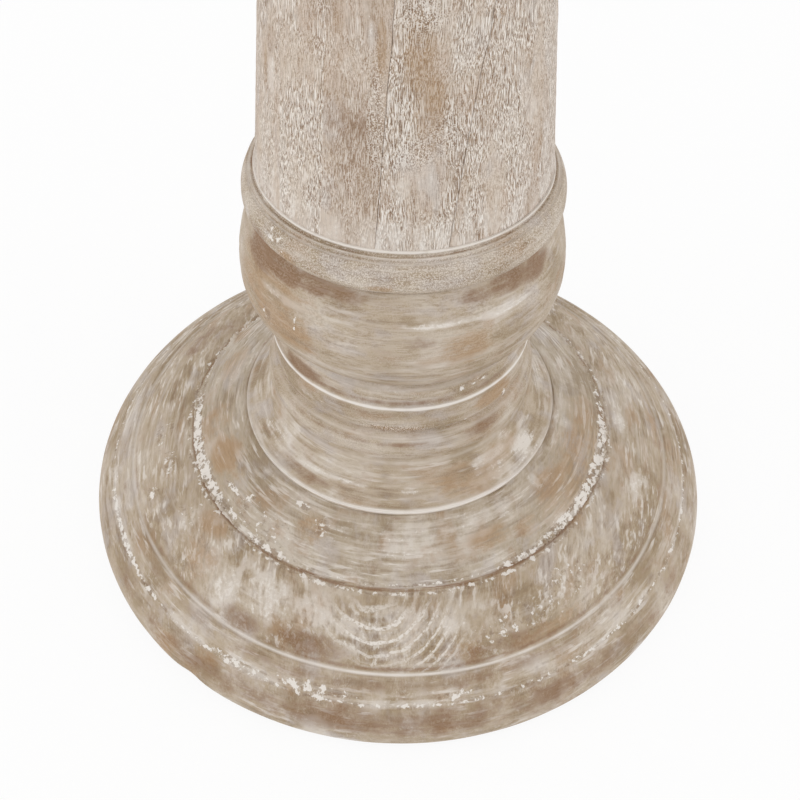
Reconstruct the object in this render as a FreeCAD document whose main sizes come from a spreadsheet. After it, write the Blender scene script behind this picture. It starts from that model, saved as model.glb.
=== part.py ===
"""Turned pedestal side table: a parametric FreeCAD macro.

Millimetres, +Z up, origin on the floor under the middle of the foot. The table is a stack of turned
wooden discs and a tapered shaft, clamped by one tie rod and glued; the round top is screwed on.
"""
import FreeCAD, Part
import math
import os
import Sketcher

# Driving dimensions: name, size in mm (or degrees, or a count), and what it is
DIMENSIONS = [
    ("table_height", 610.0, "floor to table top"),
    ("pad_thickness", 3.0, "felt pad under the foot"),
    ("pad_radius", 18.0, "felt pad"),
    ("pad_inset", 16.0, "felt pad, in from the edge of the underside"),
    ("pad_count", 4, "felt pads"),
    ("pad_start_angle", 45.0, "first pad, degrees from +X"),

    ("shaft_foot_radius", 66.8, "shaft at its foot"),
    ("shaft_neck_radius", 38.0, "shaft at its neck"),
    ("shaft_board_share", 0.35, "board thickness as a share of the foot radius"),
    ("shaft_joint_shift", 6.1, "middle glue joint, off the axis"),
    ("shaft_joint_angle", -36.0, "glue joints turned about the axis, in degrees"),
    ("tenon_radius", 26.0, "tenon under the shaft"),
    ("tenon_length", 15.0, "tenon under the shaft"),
    ("neck_tenon_radius", 22.0, "tenon on the neck"),
    ("neck_tenon_length", 14.0, "tenon on the neck"),
    ("tenon_clearance", 0.15, "glue gap round a tenon"),
    ("tenon_end_gap", 0.8, "glue gap at a tenon's end"),

    ("seat_ledge", 0.9, "fillet shows this much round the shaft"),
    ("seat_height", 2.1, "fillet under the shaft"),
    ("ledge_width", 2.4, "flat ledge over the bead"),
    ("quirk_depth", 1.2, "quirk between ledge and bead"),
    ("quirk_height", 2.0, "quirk between ledge and bead"),
    ("bead_swell", 2.8, "bead stands out from the quirk"),
    ("bead_shoulder_height", 9.2, "bead, widest level to quirk"),
    ("bead_belly_height", 7.0, "bead, underside to widest level"),
    ("bead_overhang", 4.5, "bead stands out from its underside"),

    ("valley_step", 0.6, "cushion shows this much under the bead"),
    ("cushion_swell", 8.3, "cushion stands out from the valley"),
    ("cushion_shoulder_height", 35.3, "cushion, widest level to valley"),
    ("cushion_belly_height", 24.4, "cushion, underside to widest level"),
    ("cushion_overhang", 11.8, "cushion stands out from its underside"),
    ("cushion_seat_inset", 6.9, "ring disc's top, in from the cushion's underside"),

    ("ring_neck_height", 4.0, "upright neck under the cushion"),
    ("ring_slope_width", 4.4, "sloping ledge under the cushion"),
    ("ring_slope_height", 4.5, "sloping ledge under the cushion"),
    ("ring_hollow_width", 2.2, "hollow over the bright arris"),
    ("ring_hollow_height", 9.5, "hollow over the bright arris"),
    ("ring_fillet_height", 12.8, "upright fillet under the arris"),
    ("ring_groove_depth", 2.1, "groove under the fillet"),
    ("ring_turn_under", 5.9, "fillet turns in to the groove"),
    ("ring_band_swell", 6.1, "rounded band stands out from the groove"),
    ("ring_band_height", 9.8, "rounded part of the band"),
    ("ring_band_straight", 3.0, "upright part of the band"),

    ("cove_lip", 1.2, "band overhangs the cove"),
    ("cove_neck_height", 1.5, "upright part at the top of the cove"),
    ("cove_spread", 15.1, "hollow of the cove"),
    ("cove_hollow_height", 24.9, "hollow of the cove"),
    ("cove_fillet_height", 2.2, "fillet at the foot of the cove"),
    ("cove_fillet_width", 0.8, "flat on top of that fillet"),

    ("cove_seat_ledge", 1.4, "upper disc shows this much round the cove"),
    ("foot_upper_spread", 30.8, "crown of the upper disc"),
    ("foot_upper_height", 19.1, "upper disc"),
    ("foot_upper_round", 80.0, "radius of the upper disc's crown"),
    ("foot_crown_spread", 36.1, "crown of the lower disc, seam to ledge"),
    ("foot_crown_height", 18.5, "crown of the lower disc"),
    ("foot_crown_round", 60.0, "radius of the lower disc's crown"),
    ("foot_ledge_width", 2.4, "bright ledge"),
    ("foot_band_width", 10.6, "band below the ledge"),
    ("foot_band_height", 8.6, "band below the ledge"),
    ("foot_band_round", 34.0, "radius of the band below the ledge"),
    ("foot_rim_swell", 11.0, "rim stands out from its shoulder"),
    ("foot_rim_height", 15.8, "rim, widest level to shoulder"),
    ("foot_belly_height", 3.5, "rim, underside to widest level"),
    ("foot_tuck", 2.5, "rim tucks in at the floor"),
    ("foot_joint_offset", 62.0, "glue joints of the three foot boards"),

    ("collar_seat_ledge", 2.2, "collar shows this much round the neck"),
    ("collar_fillet", 3.0, "upright fillets over and under the bead"),
    ("collar_step", 1.5, "bead springs out from the fillets"),
    ("collar_swell", 5.5, "bead stands out"),
    ("collar_half_bead", 7.0, "half the bead's height"),

    ("capital_fillet", 2.0, "upright fillet under the hollow"),
    ("capital_hollow", 22.0, "quarter hollow"),
    ("capital_band_step", 3.0, "band over the hollow"),
    ("capital_band_height", 3.0, "band over the hollow"),
    ("capital_quirk", 2.0, "quarter-round springs out from the band"),
    ("capital_round", 8.0, "quarter-round"),

    ("sub_top_radius", 150.0, "sub-top disc"),
    ("sub_top_web", 5.0, "wood under the nut in the sub-top"),
    ("sub_top_round", 13.0, "quarter-round under the sub-top"),
    ("sub_top_quirk", 3.0, "step between quarter-round and edge"),
    ("sub_top_joint_offset", 72.0, "glue joints of the sub-top boards"),

    ("top_radius", 254.0, "round top"),
    ("top_tuck", 10.0, "edge tucks in below"),
    ("top_belly_height", 12.0, "edge, underside to widest level"),
    ("top_edge_swell", 6.0, "edge stands out from its step"),
    ("top_edge_height", 11.0, "edge, widest level to step"),
    ("top_step_width", 2.5, "flat of the step"),
    ("top_step_height", 2.5, "upright of the step"),
    ("top_edge_round", 2.5, "rounded upper arris"),
    ("top_board_count", 6, "edge-glued boards"),

    ("rod_radius", 6.0, "tie rod"),
    ("rod_clearance", 0.5, "bore round the rod"),
    ("rod_chamfer", 1.0, "rod ends"),
    ("rod_stand_out", 3.0, "rod beyond the nuts"),
    ("washer_radius", 18.5, "washer"),
    ("washer_thickness", 3.0, "washer"),
    ("nut_width", 19.0, "across flats"),
    ("nut_height", 10.0, "nut"),
    ("socket_clearance", 3.5, "counterbore round a washer"),
    ("foot_rod_cover", 6.0, "rod end, up from the underside"),
    ("top_rod_cover", 1.0, "rod end, down from the top"),

    ("screw_count", 8, "screws into the top"),
    ("screw_start_angle", 22.5, "first screw, degrees from +X"),
    ("screw_inset", 25.0, "circle of the screws, in from the sub-top's edge"),
    ("screw_radius", 2.25, "shank"),
    ("screw_head_swell", 2.25, "countersunk head stands out from the shank"),
    ("screw_bite", 18.0, "screw in the top"),
    ("screw_point", 4.0, "pointed end"),
    ("screw_drive", 2.6, "square drive recess, across flats"),
    ("screw_drive_depth", 2.0, "square drive recess"),
    ("screw_clearance", 0.25, "hole round the shank in the sub-top"),
]

doc = FreeCAD.newDocument("PedestalSideTable")
sheet = doc.addObject("Spreadsheet::Sheet", "sizes")
for row, (name, size, note) in enumerate(DIMENSIONS, start=1):
    sheet.set(f"A{row}", name)
    sheet.set(f"B{row}", str(size))
    sheet.set(f"C{row}", note)
    sheet.setAlias(f"B{row}", name)
doc.recompute()


class Size:
    """A size as a number, and as the sheet expression that keeps giving it."""

    def __init__(self, value, text=None):
        self.value = float(value)
        self.text = text or repr(float(value))

    def __add__(self, other):
        other = as_size(other)
        return Size(self.value + other.value, f"({self.text} + {other.text})")

    def __sub__(self, other):
        other = as_size(other)
        return Size(self.value - other.value, f"({self.text} - {other.text})")

    def __mul__(self, other):
        other = as_size(other)
        return Size(self.value * other.value, f"({self.text} * {other.text})")

    def __truediv__(self, other):
        other = as_size(other)
        return Size(self.value / other.value, f"({self.text} / {other.text})")

    def __neg__(self):
        return self * -1.0


def as_size(value):
    return value if isinstance(value, Size) else Size(value)


class Sheet:
    """Every cell of the sheet as a Size, by its alias."""

    def __init__(self):
        for name, size, note in DIMENSIONS:
            setattr(self, name, Size(size, f"sizes.{name}"))


cell = Sheet()
zero = Size(0.0)

# The clamp: rod, washers and nuts, and the counterbores that hold them
rod_bore = cell.rod_radius + cell.rod_clearance
socket_radius = cell.washer_radius + cell.socket_clearance
nut_stack = cell.washer_thickness + cell.nut_height + cell.rod_stand_out
foot_socket_depth = nut_stack + cell.foot_rod_cover
top_socket_depth = nut_stack + cell.top_rod_cover

# Radii, from the shaft down to the rim of the foot: each moulding steps out or in from the last
seat_radius = cell.shaft_foot_radius + cell.seat_ledge
ledge_radius = seat_radius + cell.ledge_width
bead_top_radius = ledge_radius + cell.quirk_depth
bead_radius = bead_top_radius + cell.bead_swell
bead_underside_radius = bead_radius - cell.bead_overhang
valley_radius = bead_underside_radius + cell.valley_step
cushion_radius = valley_radius + cell.cushion_swell
cushion_underside_radius = cushion_radius - cell.cushion_overhang
ring_top_radius = cushion_underside_radius - cell.cushion_seat_inset
ring_slope_radius = ring_top_radius + cell.ring_slope_width
ring_fillet_radius = ring_slope_radius + cell.ring_hollow_width
ring_groove_radius = ring_fillet_radius - cell.ring_groove_depth
ring_band_radius = ring_groove_radius + cell.ring_band_swell
cove_neck_radius = ring_band_radius - cell.cove_lip
cove_edge_radius = cove_neck_radius + cell.cove_spread
cove_foot_radius = cove_edge_radius + cell.cove_fillet_width
cove_seat_radius = cove_foot_radius + cell.cove_seat_ledge
seam_radius = cove_seat_radius + cell.foot_upper_spread
foot_ledge_radius = seam_radius + cell.foot_crown_spread
foot_band_radius = foot_ledge_radius + cell.foot_ledge_width
foot_shoulder_radius = foot_band_radius + cell.foot_band_width
foot_radius = foot_shoulder_radius + cell.foot_rim_swell
foot_underside_radius = foot_radius - cell.foot_tuck
collar_neck_radius = cell.shaft_neck_radius + cell.collar_seat_ledge

# Heights: of each disc, then where it starts above the floor
foot_shoulder_height = cell.foot_belly_height + cell.foot_rim_height
foot_ledge_height = foot_shoulder_height + cell.foot_band_height
foot_lower_height = foot_ledge_height + cell.foot_crown_height
cove_hollow_top = cell.cove_fillet_height + cell.cove_hollow_height
cove_height = cove_hollow_top + cell.cove_neck_height
ring_groove_height = cell.ring_band_straight + cell.ring_band_height
ring_fillet_start = ring_groove_height + cell.ring_turn_under
ring_arris_height = ring_fillet_start + cell.ring_fillet_height
ring_hollow_top = ring_arris_height + cell.ring_hollow_height
ring_slope_top = ring_hollow_top + cell.ring_slope_height
ring_height = ring_slope_top + cell.ring_neck_height
cushion_height = cell.cushion_belly_height + cell.cushion_shoulder_height
bead_top_height = cell.bead_belly_height + cell.bead_shoulder_height
ledge_height = bead_top_height + cell.quirk_height
bead_height = ledge_height + cell.seat_height
collar_height = (cell.collar_fillet + cell.collar_half_bead) * 2.0
capital_hollow_top = cell.capital_fillet + cell.capital_hollow
capital_band_top = capital_hollow_top + cell.capital_band_height
capital_height = capital_band_top + cell.capital_round
sub_top_thickness = top_socket_depth + cell.sub_top_web
top_step_level = cell.top_belly_height + cell.top_edge_height
top_round_level = top_step_level + cell.top_step_height
top_thickness = top_round_level + cell.top_edge_round

foot_level = cell.pad_thickness
seam_level = foot_level + foot_lower_height
cove_level = seam_level + cell.foot_upper_height
ring_level = cove_level + cove_height
cushion_level = ring_level + ring_height
bead_level = cushion_level + cushion_height
shaft_level = bead_level + bead_height
top_level = cell.table_height - top_thickness
sub_top_level = top_level - sub_top_thickness
capital_level = sub_top_level - capital_height
collar_level = capital_level - collar_height
foot_socket_level = foot_level + foot_socket_depth
top_socket_level = top_level - top_socket_depth

# Fastener circles
pad_ring_radius = foot_underside_radius - cell.pad_inset - cell.pad_radius
screw_ring_radius = cell.sub_top_radius - cell.screw_inset
screw_head_radius = cell.screw_radius + cell.screw_head_swell

pieces = []


def keep(piece, label):
    """Name a finished sub-part; it is checked and written at the end."""
    piece.Label = label
    pieces.append(piece)
    return piece


def place(piece, level=zero, turn=None):
    """Lift a piece to its level, and turn it about the upright axis."""
    if turn is not None:
        piece.Placement.Rotation = FreeCAD.Rotation(FreeCAD.Vector(0, 0, 1), turn.value)
        piece.setExpression("Placement.Rotation.Angle", turn.text)
    piece.setExpression("Placement.Base.z", level.text)


def origin_feature(body, role):
    return next(part for part in body.Origin.OriginFeatures if part.Role == role)


# Outlines: corners (r, z), or (r, z, radius) for an arc that ends there
def swell(r, z, radius):
    """An arc to (r, z) that bulges away from the axis."""
    return r, z, radius, 1


def hollow(r, z, radius):
    """An arc to (r, z) that is hollowed towards the axis."""
    return r, z, radius, -1


def upright_radius(width, height):
    """Radius of the arc that leaves or meets an upright line and covers width by height."""
    return (width * width + height * height) / (width * 2.0)


def arc_between(start, end, radius, side):
    """Arc from start to end; it runs anticlockwise where side is 1."""
    chord = end - start
    rise = math.sqrt(radius ** 2 - (chord.Length / 2) ** 2)
    across = FreeCAD.Vector(-chord.y, chord.x, 0).normalize() * rise * side
    centre = (start + end) * 0.5 + across
    first, last = (start, end) if side > 0 else (end, start)
    angles = [math.atan2(point.y - centre.y, point.x - centre.x) for point in (first, last)]
    circle = Part.Circle(centre, FreeCAD.Vector(0, 0, 1), radius)
    return Part.ArcOfCircle(circle, angles[0], angles[1])


def bind(sketch, kind, size, *where):
    """Add a sketch dimension and tie it to the sheet."""
    index = sketch.addConstraint(Sketcher.Constraint(kind, *where, size.value))
    sketch.setExpression(f"Constraints[{index}]", size.text)


def upright_sketch(body, name):
    sketch = body.newObject("Sketcher::SketchObject", name)
    sketch.AttachmentSupport = [(origin_feature(body, "XZ_Plane"), "")]
    sketch.MapMode = "FlatFace"
    return sketch


def draw_outline(sketch, corners):
    """Draw a closed, fully dimensioned outline on a sketch."""
    points = [FreeCAD.Vector(corner[0].value, corner[1].value, 0) for corner in corners]
    ends = []
    for index, corner in enumerate(corners):
        start, end = points[index - 1], points[index]
        if len(corner) == 4:
            radius, side = corner[2], corner[3]
            line = sketch.addGeometry(arc_between(start, end, radius.value, side))
            bind(sketch, "Radius", radius, line)
            ends.append((line, 1, 2) if side > 0 else (line, 2, 1))
        else:
            line = sketch.addGeometry(Part.LineSegment(start, end))
            ends.append((line, 1, 2))
    for index, (line, first, last) in enumerate(ends):
        following, next_first, next_last = ends[(index + 1) % len(ends)]
        sketch.addConstraint(Sketcher.Constraint("Coincident", line, last, following, next_first))
        r, z = corners[index][0], corners[index][1]
        if r is zero:
            sketch.addConstraint(Sketcher.Constraint("PointOnObject", line, last, -2))
        else:
            bind(sketch, "DistanceX", r, -1, 1, line, last)
        if z is zero:
            sketch.addConstraint(Sketcher.Constraint("PointOnObject", line, last, -1))
        else:
            bind(sketch, "DistanceY", z, -1, 1, line, last)


def turned(name, corners, level=zero, turn=None, halves=False):
    """A body turned on the lathe: its outline revolved about the upright axis."""
    body = doc.addObject("PartDesign::Body", name)
    sketch = upright_sketch(body, f"{name}_outline")
    draw_outline(sketch, corners)
    feature = body.newObject("PartDesign::Revolution", f"{name}_turning")
    feature.Profile = sketch
    feature.ReferenceAxis = (sketch, ["V_Axis"])
    feature.Angle = 180.0 if halves else 360.0
    if halves:
        repeat(body, f"{name}_halves", [feature], Size(2.0)).Refine = False
    place(body, level, turn)
    return body


def ring_of(body, name, kind, corners, axis_radius, count):
    """Revolve an outline about an upright line at axis_radius, and repeat it round the axis."""
    sketch = upright_sketch(body, f"{name}_outline")
    draw_outline(sketch, corners)
    foot = FreeCAD.Vector(axis_radius.value, 0, 0)
    axis = sketch.addGeometry(Part.LineSegment(foot, foot + FreeCAD.Vector(0, 10, 0)), True)
    sketch.addConstraint(Sketcher.Constraint("Vertical", axis))
    sketch.addConstraint(Sketcher.Constraint("PointOnObject", axis, 1, -1))
    bind(sketch, "DistanceX", axis_radius, -1, 1, axis, 1)
    bind(sketch, "DistanceY", Size(10.0), -1, 1, axis, 2)
    feature = body.newObject(kind, f"{name}_turning")
    feature.Profile = sketch
    feature.ReferenceAxis = (sketch, ["Axis0"])
    feature.Angle = 360.0
    return repeat(body, name, [feature], count)


def repeat(body, name, features, count):
    pattern = body.newObject("PartDesign::PolarPattern", f"{name}_pattern")
    pattern.Originals = features
    pattern.Axis = (origin_feature(body, "Z_Axis"), [""])
    pattern.Angle = 360.0
    pattern.Occurrences = int(count.value)
    pattern.setExpression("Occurrences", count.text)
    body.Tip = pattern
    return pattern


def board(label, blank, half_width, bottom, height, low, high, across="x", turn=None):
    """One glued board: the slice of a turned blank between two joints."""
    slab = doc.addObject("Part::Box", f"{label}_slab")
    span = half_width * 2.0
    along = "y" if across == "x" else "x"
    sides = {"x": "Length", "y": "Width"}
    slab.setExpression(sides[across], (high - low).text)
    slab.setExpression(sides[along], span.text)
    slab.setExpression("Height", height.text)
    slab.setExpression(f"Placement.Base.{across}", low.text)
    slab.setExpression(f"Placement.Base.{along}", (-half_width).text)
    slab.setExpression("Placement.Base.z", bottom.text)
    slice_ = doc.addObject("Part::Common", label)
    slice_.Base = blank
    slice_.Tool = slab
    if turn is not None:
        slice_.Placement.Rotation = FreeCAD.Rotation(FreeCAD.Vector(0, 0, 1), turn.value)
        slice_.setExpression("Placement.Rotation.Angle", turn.text)
    return keep(slice_, label)


def boards(blank, half_width, bottom, height, joints, labels, across="x", turn=None):
    """Slice a blank at its joints into labelled boards."""
    edges = [-half_width] + joints + [half_width]
    for label, low, high in zip(labels, edges, edges[1:]):
        board(label, blank, half_width, bottom, height, low, high, across, turn)


# Foot: lower disc of three boards, upper disc, both with a crowned top
def make_foot():
    blank = turned("foot_blank", [
        (socket_radius, zero),
        (foot_underside_radius, zero),
        swell(foot_radius, cell.foot_belly_height,
              upright_radius(cell.foot_tuck, cell.foot_belly_height)),
        swell(foot_shoulder_radius, foot_shoulder_height,
              upright_radius(cell.foot_rim_swell, cell.foot_rim_height)),
        swell(foot_band_radius, foot_ledge_height, cell.foot_band_round),
        (foot_ledge_radius, foot_ledge_height),
        swell(seam_radius, foot_lower_height, cell.foot_crown_round),
        (rod_bore, foot_lower_height),
        (rod_bore, foot_socket_depth),
        (socket_radius, foot_socket_depth),
    ], foot_level)
    joints = [-cell.foot_joint_offset, cell.foot_joint_offset]
    labels = ["foot_board_left", "foot_board_middle", "foot_board_right"]
    boards(blank, foot_radius, foot_level, foot_lower_height, joints, labels)
    upper = turned("foot_upper", [
        (rod_bore, zero),
        (seam_radius, zero),
        swell(cove_seat_radius, cell.foot_upper_height, cell.foot_upper_round),
        (rod_bore, cell.foot_upper_height),
    ], seam_level)
    keep(upper, "foot_upper_disc")


# Mouldings between foot and shaft
def make_cove():
    body = turned("cove", [
        (rod_bore, zero),
        (cove_foot_radius, zero),
        (cove_foot_radius, cell.cove_fillet_height),
        (cove_edge_radius, cell.cove_fillet_height),
        hollow(cove_neck_radius, cove_hollow_top,
               upright_radius(cell.cove_spread, cell.cove_hollow_height)),
        (cove_neck_radius, cove_height),
        (rod_bore, cove_height),
    ], cove_level)
    keep(body, "cove_disc")


def make_ring():
    body = turned("ring", [
        (rod_bore, zero),
        (ring_band_radius, zero),
        (ring_band_radius, cell.ring_band_straight),
        swell(ring_groove_radius, ring_groove_height,
              upright_radius(cell.ring_band_swell, cell.ring_band_height)),
        swell(ring_fillet_radius, ring_fillet_start,
              upright_radius(cell.ring_groove_depth, cell.ring_turn_under)),
        (ring_fillet_radius, ring_arris_height),
        hollow(ring_slope_radius, ring_hollow_top,
               upright_radius(cell.ring_hollow_width, cell.ring_hollow_height)),
        (ring_top_radius, ring_slope_top),
        (ring_top_radius, ring_height),
        (rod_bore, ring_height),
    ], ring_level)
    keep(body, "ring_disc")


def make_cushion():
    body = turned("cushion", [
        (rod_bore, zero),
        (cushion_underside_radius, zero),
        swell(cushion_radius, cell.cushion_belly_height,
              upright_radius(cell.cushion_overhang, cell.cushion_belly_height)),
        swell(valley_radius, cushion_height,
              upright_radius(cell.cushion_swell, cell.cushion_shoulder_height)),
        (rod_bore, cushion_height),
    ], cushion_level)
    keep(body, "cushion_disc")


def make_bead():
    mortise = cell.tenon_radius + cell.tenon_clearance
    mortise_floor = bead_height - cell.tenon_length - cell.tenon_end_gap
    body = turned("bead", [
        (rod_bore, zero),
        (bead_underside_radius, zero),
        swell(bead_radius, cell.bead_belly_height,
              upright_radius(cell.bead_overhang, cell.bead_belly_height)),
        swell(bead_top_radius, bead_top_height,
              upright_radius(cell.bead_swell, cell.bead_shoulder_height)),
        (ledge_radius, bead_top_height),
        (ledge_radius, ledge_height),
        (seat_radius, ledge_height),
        (seat_radius, bead_height),
        (mortise, bead_height),
        (mortise, mortise_floor),
        (rod_bore, mortise_floor),
    ], bead_level)
    keep(body, "bead_disc")


# Shaft: six boards glued face to face, turned to a taper with a tenon at each end
def make_shaft():
    foot = cell.tenon_length
    neck = foot + collar_level - shaft_level
    end = neck + cell.neck_tenon_length
    blank = turned("shaft_blank", [
        (rod_bore, zero),
        (cell.tenon_radius, zero),
        (cell.tenon_radius, foot),
        (cell.shaft_foot_radius, foot),
        (cell.shaft_neck_radius, neck),
        (cell.neck_tenon_radius, neck),
        (cell.neck_tenon_radius, end),
        (rod_bore, end),
    ], shaft_level - foot, halves=True)
    thickness = cell.shaft_foot_radius * cell.shaft_board_share
    joints = [thickness * float(number) + cell.shaft_joint_shift for number in range(-2, 3)]
    labels = [f"shaft_board_{number}" for number in range(1, 7)]
    boards(blank, cell.shaft_foot_radius, shaft_level - foot, end, joints, labels,
           turn=cell.shaft_joint_angle)


# Collar and capital carry the top
def make_collar():
    mortise = cell.neck_tenon_radius + cell.tenon_clearance
    mortise_top = cell.neck_tenon_length + cell.tenon_end_gap
    spring = collar_neck_radius + cell.collar_step
    belly = cell.collar_fillet + cell.collar_half_bead
    bead_top = belly + cell.collar_half_bead
    round_ = upright_radius(cell.collar_swell, cell.collar_half_bead)
    body = turned("collar", [
        (mortise, zero),
        (collar_neck_radius, zero),
        (collar_neck_radius, cell.collar_fillet),
        (spring, cell.collar_fillet),
        swell(spring + cell.collar_swell, belly, round_),
        swell(spring, bead_top, round_),
        (collar_neck_radius, bead_top),
        (collar_neck_radius, collar_height),
        (rod_bore, collar_height),
        (rod_bore, mortise_top),
        (mortise, mortise_top),
    ], collar_level)
    keep(body, "collar_ring")


def make_capital():
    hollow_edge = collar_neck_radius + cell.capital_hollow
    band = hollow_edge + cell.capital_band_step
    spring = band + cell.capital_quirk
    body = turned("capital", [
        (rod_bore, zero),
        (collar_neck_radius, zero),
        (collar_neck_radius, cell.capital_fillet),
        hollow(hollow_edge, capital_hollow_top, cell.capital_hollow),
        (band, capital_hollow_top),
        (band, capital_band_top),
        (spring, capital_band_top),
        swell(spring + cell.capital_round, capital_height, cell.capital_round),
        (rod_bore, capital_height),
    ], capital_level)
    keep(body, "capital_disc")


def make_sub_top():
    round_edge = cell.sub_top_radius - cell.sub_top_quirk
    blank = turned("sub_top_blank", [
        (rod_bore, zero),
        (round_edge - cell.sub_top_round, zero),
        swell(round_edge, cell.sub_top_round, cell.sub_top_round),
        (cell.sub_top_radius, cell.sub_top_round),
        (cell.sub_top_radius, sub_top_thickness),
        (socket_radius, sub_top_thickness),
        (socket_radius, cell.sub_top_web),
        (rod_bore, cell.sub_top_web),
    ], sub_top_level, cell.screw_start_angle)
    axis = screw_ring_radius
    hole = axis + cell.screw_radius + cell.screw_clearance
    ring_of(blank, "sub_top_holes", "PartDesign::Groove", [
        (axis, zero),
        (hole + cell.screw_head_swell, zero),
        (hole, cell.screw_head_swell),
        (hole, sub_top_thickness),
        (axis, sub_top_thickness),
    ], axis, cell.screw_count)
    joints = [-cell.sub_top_joint_offset, cell.sub_top_joint_offset]
    labels = ["sub_top_left", "sub_top_middle", "sub_top_right"]
    boards(blank, cell.sub_top_radius, sub_top_level, sub_top_thickness, joints, labels)


# Top: six boards, grain across the sub-top's
def make_top():
    belly = cell.top_radius
    shoulder = belly - cell.top_edge_swell
    step = shoulder - cell.top_step_width
    blank = turned("top_blank", [
        (zero, zero),
        (belly - cell.top_tuck, zero),
        swell(belly, cell.top_belly_height, upright_radius(cell.top_tuck, cell.top_belly_height)),
        swell(shoulder, top_step_level,
              upright_radius(cell.top_edge_swell, cell.top_edge_height)),
        (step, top_step_level),
        (step, top_round_level),
        swell(step - cell.top_edge_round, top_thickness, cell.top_edge_round),
        (zero, top_thickness),
    ], top_level, cell.screw_start_angle)
    axis = screw_ring_radius
    ring_of(blank, "pilot_holes", "PartDesign::Groove", [
        (axis, zero),
        (axis + cell.screw_radius, zero),
        (axis + cell.screw_radius, cell.screw_bite - cell.screw_point),
        (axis, cell.screw_bite),
    ], axis, cell.screw_count)
    count = int(cell.top_board_count.value)
    width = belly * 2.0 / cell.top_board_count
    joints = [width * float(number) - belly for number in range(1, count)]
    labels = [f"top_board_{number}" for number in range(1, count + 1)]
    boards(blank, belly, top_level, top_thickness, joints, labels, across="y")


# Metalwork and pads
def make_screws():
    """Countersunk screws, heads down, each with a square drive recess."""
    body = doc.addObject("PartDesign::Body", "screws")
    axis = screw_ring_radius
    length = sub_top_thickness + cell.screw_bite
    ring_of(body, "screws", "PartDesign::Revolution", [
        (axis, zero),
        (axis + screw_head_radius, zero),
        (axis + cell.screw_radius, cell.screw_head_swell),
        (axis + cell.screw_radius, length - cell.screw_point),
        (axis, length),
    ], axis, cell.screw_count)
    recess = body.newObject("Sketcher::SketchObject", "drive_outline")
    recess.AttachmentSupport = [(origin_feature(body, "XY_Plane"), "")]
    recess.MapMode = "FlatFace"
    half = cell.screw_drive / 2.0
    draw_outline(recess, [(axis - half, -half), (axis + half, -half),
                          (axis + half, half), (axis - half, half)])
    pocket = body.newObject("PartDesign::Pocket", "drive_recess")
    pocket.Profile = recess
    pocket.Reversed = True
    pocket.setExpression("Length", cell.screw_drive_depth.text)
    repeat(body, "drives", [pocket], cell.screw_count)
    place(body, sub_top_level, cell.screw_start_angle)
    keep(body, "top_screws")


def make_pads():
    body = doc.addObject("PartDesign::Body", "pads")
    axis = pad_ring_radius
    ring_of(body, "pads", "PartDesign::Revolution", [
        (axis, zero),
        (axis + cell.pad_radius, zero),
        (axis + cell.pad_radius, cell.pad_thickness),
        (axis, cell.pad_thickness),
    ], axis, cell.pad_count)
    place(body, zero, cell.pad_start_angle)
    keep(body, "felt_pads")


def make_rod():
    start = foot_level + cell.foot_rod_cover
    length = top_level - cell.top_rod_cover - start
    tip = cell.rod_radius - cell.rod_chamfer
    body = turned("rod", [
        (zero, zero),
        (tip, zero),
        (cell.rod_radius, cell.rod_chamfer),
        (cell.rod_radius, length - cell.rod_chamfer),
        (tip, length),
        (zero, length),
    ], start)
    keep(body, "tie_rod")


def make_washer(label, level):
    body = turned(f"{label}_body", [
        (rod_bore, zero),
        (cell.washer_radius, zero),
        (cell.washer_radius, cell.washer_thickness),
        (rod_bore, cell.washer_thickness),
    ], level)
    keep(body, label)


def make_nut(label, level):
    """A hexagon, trimmed at its corners by a turned double chamfer, with the rod's bore."""
    corner = cell.nut_width / math.sqrt(3.0)
    flat = cell.nut_width / 2.0
    chamfer = (corner - flat) * math.tan(math.radians(30.0))
    hexagon = doc.addObject("Part::Prism", f"{label}_hexagon")
    hexagon.Polygon = 6
    hexagon.setExpression("Circumradius", corner.text)
    hexagon.setExpression("Height", cell.nut_height.text)
    place(hexagon, level)
    trim = turned(f"{label}_trim", [
        (cell.rod_radius, zero),
        (flat, zero),
        (corner, chamfer),
        (corner, cell.nut_height - chamfer),
        (flat, cell.nut_height),
        (cell.rod_radius, cell.nut_height),
    ], level)
    nut = doc.addObject("Part::Common", label)
    nut.Base = hexagon
    nut.Tool = trim
    keep(nut, label)


def make_clamp():
    make_rod()
    make_washer("lower_washer", foot_socket_level - cell.washer_thickness)
    make_nut("lower_nut", foot_socket_level - cell.washer_thickness - cell.nut_height)
    make_washer("upper_washer", top_socket_level)
    make_nut("upper_nut", top_socket_level + cell.washer_thickness)


def check(piece):
    """Stop on a piece that failed to build."""
    shape = piece.Shape
    wrong = [state for state in piece.State if state in ("Invalid", "Error")]
    if wrong or shape.isNull() or not shape.isValid() or not shape.Solids:
        raise RuntimeError(f"{piece.Label} did not build: {piece.State}")


def main():
    make_pads()
    make_foot()
    make_cove()
    make_ring()
    make_cushion()
    make_bead()
    make_shaft()
    make_collar()
    make_capital()
    make_sub_top()
    make_top()
    make_screws()
    make_clamp()
    doc.recompute()
    for item in doc.Objects:
        if "Invalid" in item.State or "Error" in item.State:
            raise RuntimeError(f"{item.Name} did not build: {item.State}")
    os.makedirs("parts", exist_ok=True)
    for piece in pieces:
        check(piece)
        piece.Shape.exportStep(f"parts/{piece.Label}.step")
    print(f"{len(pieces)} sub-parts written")


main()
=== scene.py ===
# %% [markdown]
# # A limewashed pedestal table
# The table is a stack of turned wood: a wide stepped foot, a cove, a ring, a round cushion, a bead,
# a tapered shaft, and the round top that the shaft carries. The CAD frame fixes every size. This
# lesson dresses it: each piece is turned again as a finer mesh, a little out of true as hand work
# is, and white lime is rubbed into its grain.

# %% Load the frame
import math

import bmesh
import bpy
import numpy as np
from mathutils import Matrix, Vector


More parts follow.
